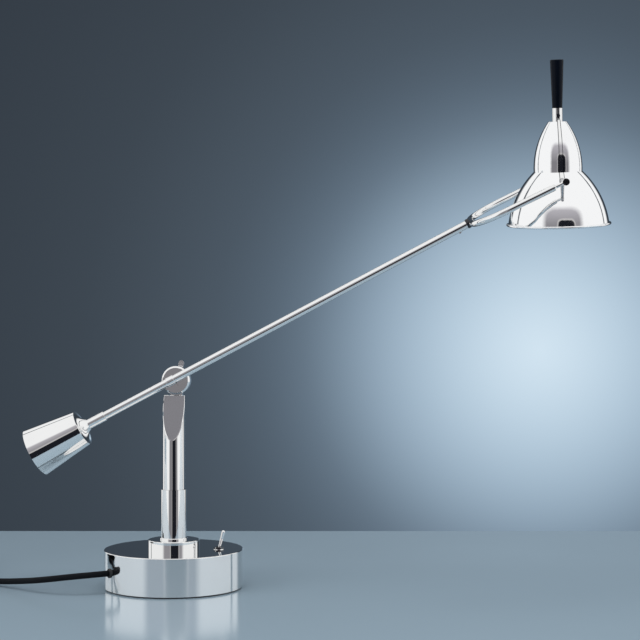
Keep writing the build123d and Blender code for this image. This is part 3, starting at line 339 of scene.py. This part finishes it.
def dress(material, *names):
    """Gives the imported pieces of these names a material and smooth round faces."""
    for name in names:
        mesh = nodes[name].data
        mesh.materials.clear()
        mesh.materials.append(material)
        with bpy.context.temp_override(object=nodes[name], selected_objects=[nodes[name]],
                                       selected_editable_objects=[nodes[name]]):
            bpy.ops.object.shade_smooth_by_angle(angle=SMOOTH_ANGLE)


def moulded_plastic(name, colour, roughness):
    """Dark moulding with a fine grain and a few paler rubbed patches."""
    plastic = Finish(name)
    patches = plastic.spread(plastic.noise(scale=60, detail=4), low=0.45, high=0.8)
    paler = tuple(part * 1.6 + 0.004 for part in colour)
    plastic.set(base_color=plastic.mix(patches * 0.5, colour, paler),
                roughness=plastic.noise(scale=400, detail=2) * 0.14 + roughness)
    plastic.bump(plastic.noise(scale=2600, detail=2), strength=0.25, distance=0.00008)
    return plastic.material


def soft_rubber(name, colour):
    """Dull black rubber with a powdery bloom."""
    rubber = Finish(name)
    bloom = rubber.spread(rubber.noise(scale=120, detail=5), low=0.4, high=0.75)
    rubber.set(base_color=rubber.mix(bloom * 0.35, colour, RUBBER_BLOOM),
               roughness=bloom * 0.12 + 0.62)
    rubber.bump(rubber.noise(scale=1800), strength=0.3, distance=0.0001)
    return rubber.material


black_moulding = moulded_plastic("black_moulding", MOULDING_BLACK, roughness=0.38)
black_rubber = soft_rubber("black_rubber", RUBBER_BLACK)
dress(black_moulding, "plug_body")
dress(black_rubber, "cord_grommet", "coil_tie")


# ---- Base -----------------------------------------------------------------------------------
# Drawn steel drum, polished and nickel plated like nearly every visible part, with a low boss
# on its roof. An iron ballast, a cover plate and a felt pad close it from below.

NICKEL = (0.88, 0.88, 0.875)
CLEAN_ROUGHNESS = 0.02
SMALL_ROUGHNESS = 0.05      # of small pieces, whose polish is less even
HANDLED_ROUGHNESS = 0.08
PLATING_WAVES = 45          # to a metre
PLATING_RELIEF = 0.00012
SCREW_GREY = (0.52, 0.52, 0.53)
COVER_GREY = (0.42, 0.42, 0.43)
IRON_GREY = (0.16, 0.16, 0.165)
FELT_BLACK = (0.035, 0.035, 0.04)


def handled_plating(plate, shine, smear):
    """Colour and roughness of bright plating with the faint smears that hands leave."""
    smears = plate.noise(scale=28, detail=5, roughness=0.6, stretch=smear)
    smears = plate.spread(smears, low=0.48, high=0.78)
    tone = plate.mix(smears * 0.5, NICKEL, darker(NICKEL, 0.95))
    return tone, smears * (HANDLED_ROUGHNESS - shine) + shine


def polished_nickel(name, shine=CLEAN_ROUGHNESS, smear=(1, 1, 1)):
    """Bright plating: nearly a mirror, with smears, hairline marks and a soft waviness."""
    plate = Finish(name, metallic=1.0)
    tone, roughness = handled_plating(plate, shine, smear)
    hairlines = plate.noise(scale=900, detail=2, roughness=0.6, stretch=(0.2, 1, 1))
    hairlines = plate.spread(hairlines, low=0.62, high=0.8)
    plate.set(base_color=tone, roughness=roughness + hairlines * 0.02)
    waves = plate.noise(PLATING_WAVES, detail=2)
    plate.bump(waves + hairlines * 0.01, strength=0.10, distance=PLATING_RELIEF)
    return plate.material


def raw_steel(name, colour, roughness):
    """Machined steel with fine tool marks and duller patches."""
    steel = Finish(name, metallic=1.0)
    marks = steel.noise(scale=1400, detail=2, stretch=(1, 1, 0.15))
    dull = steel.spread(steel.noise(scale=90, detail=4), low=0.4, high=0.8)
    steel.set(base_color=steel.mix(dull * 0.6, colour, darker(colour, 0.7)),
              roughness=marks * 0.12 + dull * 0.1 + roughness)
    steel.bump(marks, strength=0.25, distance=0.00008)
    return steel.material


def cast_metal(name, colour):
    """Rough grey casting with pits and a trace of oil."""
    casting = Finish(name, metallic=0.6)
    grain = casting.noise(scale=700, detail=6, roughness=0.65)
    casting.set(base_color=casting.mix(grain, darker(colour, 0.6), colour),
                roughness=grain * 0.25 + 0.5)
    casting.bump(grain, strength=0.6, distance=0.0004)
    return casting.material


def pressed_felt(name, colour):
    """Short matted fibres under the base."""
    felt = Finish(name, roughness=0.95, sheen_weight=0.5, sheen_roughness=0.6)
    fibres = felt.noise(scale=2200, detail=6, roughness=0.75, stretch=(1, 0.5, 1))
    felt.set(base_color=felt.mix(fibres, darker(colour, 0.5), colour))
    felt.bump(fibres, strength=0.9, distance=0.0003)
    return felt.material


small_nickel = polished_nickel("small_nickel", shine=SMALL_ROUGHNESS)
screw_steel = raw_steel("screw_steel", SCREW_GREY, roughness=0.22)
dress(polished_nickel("base_nickel"), "base_shell", "base_boss")
dress(raw_steel("cover_steel", COVER_GREY, roughness=0.35), "base_cover_plate")
dress(cast_metal("ballast_iron", IRON_GREY), "base_ballast")
dress(pressed_felt("black_felt", FELT_BLACK), "felt_pad")
dress(screw_steel, "cover_screws", "sleeve_locknut", "clamp_bar", "clamp_screws")
dress(black_moulding, "terminal_block")
dress(black_rubber, "base_wiring")
dress(small_nickel, "plug_pins")


# ---- Toggle switch ----------------------------------------------------------------------------
# Small bat lever in a flanged nut, both nickel plated. The nut clamps the switch's moulded body
# under the base's roof.

dress(black_moulding, "switch_body")
dress(small_nickel, "switch_nut", "toggle_lever")


# ---- Sleeve and column --------------------------------------------------------------------------
# The column turns in a short stout sleeve screwed to the base. A long slanting flat is milled
# off its front at the top and left satin; all the rest is polished.

FLAT_NORMAL = Vector((-0.0865, -0.9510, 0.2971))
FLAT_SPAN = (0.985, 0.992)  # how nearly a surface has to look the flat's way
SATIN_GREY = (0.30, 0.295, 0.315)
SATIN_ROUGHNESS = 0.34
UPRIGHT_SMEAR = (1, 1, 0.4)
BRASS = (0.78, 0.60, 0.30)
TARNISH = (0.36, 0.25, 0.10)


def column_nickel(name):
    """Polished plating with one satin face, told apart by the way the surface looks."""
    plate = Finish(name, metallic=1.0)
    facing = plate.along(plate.add("ShaderNodeTexCoord", output="Normal"), FLAT_NORMAL)
    flat = plate.spread(facing, *FLAT_SPAN)
    bright, roughness = handled_plating(plate, CLEAN_ROUGHNESS, UPRIGHT_SMEAR)
    grain = plate.noise(scale=1500, detail=2, stretch=(1, 1, 0.05))
    satin = plate.mix(grain, darker(SATIN_GREY, 0.9), SATIN_GREY)
    plate.set(base_color=plate.mix(flat, bright, satin),
              roughness=flat * SATIN_ROUGHNESS + (1 - flat) * roughness)
    waves = plate.noise(PLATING_WAVES, detail=2)
    plate.bump(flat * grain * 0.3 + waves, strength=0.12, distance=PLATING_RELIEF)
    return plate.material


def worn_brass(name, colour):
    """Turned brass, darker where it has tarnished."""
    brass = Finish(name, metallic=1.0)
    tarnish = brass.spread(brass.noise(scale=140, detail=5), low=0.4, high=0.75)
    brass.set(base_color=brass.mix(tarnish, colour, TARNISH), roughness=tarnish * 0.2 + 0.18)
    turning = brass.noise(scale=1500, detail=2, stretch=(1, 1, 0.1))
    brass.bump(turning, strength=0.2, distance=0.00008)
    return brass.material


turned_brass = worn_brass("turned_brass", BRASS)
dress(polished_nickel("sleeve_nickel", smear=UPRIGHT_SMEAR), "column_sleeve")
dress(column_nickel("column_nickel"), "column_post")
dress(turned_brass, "column_bush")
dress(screw_steel, "swivel_screw")
dress(black_rubber, "column_lead")


# ---- Friction joint -----------------------------------------------------------------------------
# Two thick polished discs face each other on a bolt; a sprung washer and a wing nut behind
# press them together, so that the arm stays where it is put.

WING_GREY = (0.80, 0.80, 0.81)
FIBRE_BROWN = (0.10, 0.045, 0.03)

dress(polished_nickel("joint_nickel", shine=SMALL_ROUGHNESS), "fixed_disc", "arm_disc", "arm_saddle")
dress(raw_steel("wing_steel", WING_GREY, roughness=0.20), "wing_nut")
dress(small_nickel, "pivot_bolt")
dress(screw_steel, "spring_washer", "saddle_screws")
dress(moulded_plastic("washer_fibre", FIBRE_BROWN, roughness=0.5), "friction_washer")


# ---- Arm and counterweight ----------------------------------------------------------------------
# A straight eight millimetre tube. The weight is a plated cone with a hollowed shoulder on a
# brass core, clamped by its sleeve, and closed by a cap with one slotted screw.

ARM_SMEAR = (0.3, 1, 1)

dress(polished_nickel("arm_nickel", smear=ARM_SMEAR), "arm_tube", "weight_sleeve")
dress(polished_nickel("weight_nickel"), "counterweight_shell", "weight_end_cap")
dress(small_nickel, "weight_end_screw")
dress(turned_brass, "counterweight_core")
dress(screw_steel, "weight_set_screw", "tube_end_plug", "stop_screw")
dress(black_rubber, "arm_cable")


# ---- Fork -----------------------------------------------------------------------------------
# One plated rod, bent to two legs with flattened ends. It is brazed to a dark steel knuckle,
# whose stem rolls inside the arm.

KNUCKLE_GREY = (0.06, 0.06, 0.065)

dress(polished_nickel("fork_nickel"), "fork_yoke", "fork_stem")
dress(raw_steel("knuckle_steel", KNUCKLE_GREY, roughness=0.3), "fork_ferrule")


# ---- Shade ----------------------------------------------------------------------------------
# Spun aluminium, polished outside: a bell, a narrower dome and a small flat crown. A bright
# strap runs down each side from the neck to the pivot, and a black handle stands on top.

SHADE_METAL = (0.93, 0.932, 0.935)
STRAP_PIVOT = Vector((0.3831, -0.0366, 0.4093))
STRAP_UP = Vector((-0.0328, -0.1378, 0.9899))
STRAP_ACROSS = Vector((0.9990, -0.0214, 0.0301))
STRAP_HALF_WIDTH = 0.0025   # at the pivot
STRAP_TAPER = 0.0156        # how fast it narrows on the way up
# Painted shade along the strap's edges: the band inside an edge over which it fades out, then its
# colour.
STRAP_SHADE_SPAN = (0.00042, 0.0007)
STRAP_EDGE_SHADE = (0.06, 0.062, 0.068)
HANDLE_BLACK = (0.003, 0.005, 0.010)
PIVOT_GREY = (0.10, 0.10, 0.11)


def spun_metal(name, colour):
    """Polished spinning: bright, with faint rings left by the tool round its axis."""
    spinning = Finish(name, metallic=1.0)
    smears = spinning.spread(spinning.noise(scale=24, detail=5, roughness=0.6), low=0.5, high=0.8)
    rings = spinning.noise(scale=1200, detail=2, stretch=(0.04, 0.04, 1))
    spinning.set(base_color=spinning.mix(smears * 0.4, colour, darker(colour, 0.95)),
                 roughness=smears * 0.06 + rings * 0.02 + 0.03)
    waves = spinning.noise(scale=40, detail=2)
    spinning.bump(rings * 0.25 + waves, strength=0.1, distance=0.0001)
    return spinning.material


def strap_nickel(name):
    """Plated strip with a line of painted shade along each edge, dark beside its bright flat middle.
    """
    strip = Finish(name, metallic=1.0)
    point = strip.add("ShaderNodeTexCoord", output="Object")
    across, rise = [strip.along(point, way) - STRAP_PIVOT.dot(way)
                    for way in (STRAP_ACROSS, STRAP_UP)]
    # Painted shade: the strip is coloured dark in a thin line along each of its edges.
    inside = STRAP_HALF_WIDTH - rise * STRAP_TAPER - across.math("ABSOLUTE")
    edge = 1 - strip.spread(inside, *STRAP_SHADE_SPAN)
    smears = strip.spread(strip.noise(scale=60, detail=4), low=0.45, high=0.8)
    strip.set(base_color=strip.mix(edge, NICKEL, STRAP_EDGE_SHADE), roughness=smears * 0.05 + 0.08)
    strip.bump(strip.noise(scale=300, detail=2), strength=0.1, distance=0.0001)
    return strip.material


def ebony_handle(name, colour):
    """Black turned handle under lacquer, with a grain that only just shows."""
    lacquer = Finish(name, specular_ior_level=0.08)
    grain = lacquer.noise(scale=260, detail=5, roughness=0.6, stretch=(1, 1, 0.12))
    lacquer.set(base_color=lacquer.mix(grain, darker(colour, 0.5), colour),
                roughness=grain * 0.15 + 0.25)
    lacquer.bump(grain, strength=0.15, distance=0.0001)
    return lacquer.material


dress(spun_metal("spun_metal", SHADE_METAL), "shade")
dress(strap_nickel("strap_nickel"), "shade_straps")
dress(small_nickel, "neck_collar", "strap_screws")
dress(ebony_handle("black_handle", HANDLE_BLACK), "handle")
dress(raw_steel("pivot_steel", PIVOT_GREY, roughness=0.25), "pivot_pins")
dress(screw_steel, "pivot_nuts", "pivot_washers", "pivot_spacers", "neck_nipple")


# ---- Bulb and holder ----------------------------------------------------------------------------
# A black moulded holder hangs from the neck's nipple, with brass contacts inside. The bulb is a
# small globe of opal glass, cemented into its nickel plated cap.

OPAL_DIM = (0.80, 0.80, 0.78)
OPAL_BRIGHT = (0.88, 0.88, 0.87)


def opal_glass(name):
    """White glass, a little uneven."""
    glass = Finish(name)
    cloud = glass.noise(scale=50)
    glass.set(base_color=glass.mix(cloud, OPAL_DIM, OPAL_BRIGHT), roughness=cloud * 0.08 + 0.08)
    glass.bump(cloud, strength=0.05, distance=0.0001)
    return glass.material


dress(black_moulding, "lampholder")
dress(turned_brass, "holder_contacts")
dress(small_nickel, "bulb_cap")
dress(opal_glass("opal_glass"), "bulb_glass")


# ---- Floor and soft light -----------------------------------------------------------------------
# A pale glossy floor with a straight back edge. Three big soft boxes, to the left, to the right
# and overhead, light it and the dull pieces; neither the camera nor the plating sees them.

TABLE_HALF_WIDTH = 4.0
TABLE_BACK = 0.415
TABLE_FRONT = -0.36         # the plating mirrors the floor only as far as this
NEAR_FRONT = -5.0
TABLE_BLUE = (0.290, 0.372, 0.430)
TABLE_ROUGHNESS = 0.14
SOFT_BOXES = {
    "left_box": dict(place=(-1.5, -1.1, 0.9), target=(0.1, 0, 0.25), width=1.5, height=1.8, watts=22),
    "right_box": dict(place=(1.9, -0.6, 0.9), target=(0.2, 0, 0.25), width=1.3, height=1.8, watts=18),
    "top_box": dict(place=(0.2, -0.2, 2.0), target=(0.15, 0, 0), width=1.8, height=1.2, watts=22),
}


def glossy_acrylic(name, colour):
    """Smooth coloured sheet with a slight haze."""
    acrylic = Finish(name)
    haze = acrylic.noise(scale=6)
    acrylic.set(base_color=acrylic.mix(haze, darker(colour, 0.97), colour),
                roughness=haze * 0.03 + TABLE_ROUGHNESS)
    return acrylic.material


def table_part(name, front, back, material):
    """One flat stretch of the floor, from side to side."""
    corners = [(-TABLE_HALF_WIDTH, front, 0), (TABLE_HALF_WIDTH, front, 0),
               (TABLE_HALF_WIDTH, back, 0), (-TABLE_HALF_WIDTH, back, 0)]
    mesh = bpy.data.meshes.new(name)
    mesh.from_pydata(corners, [], [(0, 1, 2, 3)])
    mesh.materials.append(material)
    stretch = new_piece(name, mesh)
    return stretch


def soft_box(name, place, target, width, height, watts):
    """A big diffuser that gives soft light and shows in no reflection."""
    data = bpy.data.lights.new(name, "AREA")
    data.shape = "RECTANGLE"
    data.size = width
    data.size_y = height
    data.energy = watts
    box = bpy.data.objects.new(name, data)
    box.location = place
    way = Vector(target) - Vector(place)
    box.rotation_euler = way.to_track_quat("-Z", "Y").to_euler()
    box.visible_camera = False
    box.visible_glossy = False
    bpy.context.scene.collection.objects.link(box)


acrylic = glossy_acrylic("table_top", TABLE_BLUE)
table_part("table_top", TABLE_FRONT, TABLE_BACK, acrylic)
near_table = table_part("near_table", NEAR_FRONT, TABLE_FRONT, acrylic)
near_table.visible_glossy = False
for name, measures in SOFT_BOXES.items():
    soft_box(name, **measures)


# ---- Backdrop and white tent --------------------------------------------------------------------
# The backdrop glows in one place and darkens round it. What the plating mirrors is painted round
# the lamp by direction: a tent of white cloth, and openings in its front that give the dark bands.

AXES = ((1, 0, 0), (0, 1, 0), (0, 0, 1))
GLOW_WAY = Vector((0.142, 1.0, -0.0194)).normalized()
GLOW_SPREAD = 0.42          # radians from the glow's middle to the last stop
GLOW_STOPS = [
    (0.0, (0.669, 0.80, 0.90)),
    (0.12, (0.497, 0.635, 0.755)),
    (0.24, (0.298, 0.402, 0.508)),
    (0.36, (0.105, 0.148, 0.197)),
    (0.5, (0.069, 0.093, 0.121)),
    (0.7, (0.046, 0.061, 0.079)),
    (1.0, (0.034, 0.0445, 0.0585)),
]
TENT_WHITE = (0.97, 0.975, 0.98)
TENT_EDGE = 0.78            # how far back the white cloth reaches
TENT_SLANT = 0.10           # and how much further on the left
SEAM = (0.40, 0.47)         # a narrow slit down each side of the cloth
SEAM_DARK = (0.10, 0.115, 0.13)
DIM_LOW = (0.22, 0.215, 0.23)
DIM_HIGH = (0.50, 0.485, 0.52)
DIM_SIDES = (-0.66, 0.70)   # the broad dim opening in front
DIM_TOP = 0.46
RIM_GREY = (0.56, 0.545, 0.545)
RIM_SIDES = (-0.21, 0.50)   # the pale rim round the dark gap
RIM_TOP = 0.235
GAP_DARK = (0.012, 0.013, 0.018)
GAP_SIDES = (-0.17, 0.47)   # the dark gap in the middle of the opening
GAP_TOP = 0.20
LOW_GREY = (0.27, 0.29, 0.32)
LOW_TOP = -0.45
SOFT_EDGE = 0.05
SHARP_EDGE = 0.012
DIM_BLUR = 0.10             # of an opening's half width
GAP_BLUR = 0.05
CORNER_POWER = 4            # 2 would round an opening's top to an ellipse
AMBIENT = (0.42, 0.46, 0.50)


class Surroundings(Finish):
    """The world's own nodes, built like a material's, by the direction that is looked in."""

    def __init__(self, tree):
        self.tree = tree
        self.shader = tree.nodes["Background"]
        self.look = self.add("ShaderNodeTexCoord", output="Generated")
        self.right, self.back, self.up = [self.along(self.look, axis) for axis in AXES]

    def below(self, value, limit, edge):
        """1 where a value is below a limit and 0 above it, with a soft edge."""
        return self.spread(value, limit - edge, limit + edge, 1.0, 0.0)

    def opening(self, sides, top, blur):
        """1 in an upright opening in front of the lamp, with rounded upper corners."""
        left_side, right_side = sides
        across = (self.right - (left_side + right_side) / 2) / ((right_side - left_side) / 2)
        across = across.math("ABSOLUTE").math("POWER", CORNER_POWER)
        rise = (self.up.math("MAXIMUM", 0.0) / top).math("POWER", CORNER_POWER)
        far = (across + rise).math("POWER", 1 / CORNER_POWER)
        return self.below(far, 1, blur) * (self.back < 0.0)


world = bpy.data.worlds.new("studio")
world.use_nodes = True
bpy.context.scene.world = world
air = Surroundings(world.node_tree)
glow_angle = air.along(air.look, GLOW_WAY).math("ARCCOSINE") / GLOW_SPREAD
backdrop = air.add("ShaderNodeValToRGB", {"stops": GLOW_STOPS}, {"Fac": glow_angle}, "Color")
seam_start, seam_end = SEAM
seam = (1 - air.below(air.back, seam_start, SHARP_EDGE)) * air.below(air.back, seam_end, SHARP_EDGE)
dimness = air.mix(air.spread(air.up, 0.0, DIM_TOP), DIM_LOW, DIM_HIGH)
tent = air.mix(seam, TENT_WHITE, SEAM_DARK)
tent = air.mix(air.opening(DIM_SIDES, DIM_TOP, DIM_BLUR), tent, dimness)
tent = air.mix(air.opening(RIM_SIDES, RIM_TOP, GAP_BLUR), tent, RIM_GREY)
tent = air.mix(air.opening(GAP_SIDES, GAP_TOP, GAP_BLUR), tent, GAP_DARK)
tent = air.mix(air.spread(air.up, LOW_TOP, LOW_TOP + SOFT_EDGE, 1.0, 0.0), tent, LOW_GREY)
tent_side = air.below(air.back + air.right * TENT_SLANT, TENT_EDGE, SOFT_EDGE)
mirrored = air.mix(tent_side, backdrop, tent)
camera_ray, glossy_ray, clear_ray = [air.add("ShaderNodeLightPath", output=f"Is {kind} Ray")
                                     for kind in ("Camera", "Glossy", "Transmission")]
unseen = air.mix((glossy_ray + clear_ray).math("MINIMUM", 1.0), AMBIENT, mirrored)
air.set(color=air.mix(camera_ray, unseen, backdrop), strength=1.0)

bpy.context.scene.view_settings.view_transform = "Standard"
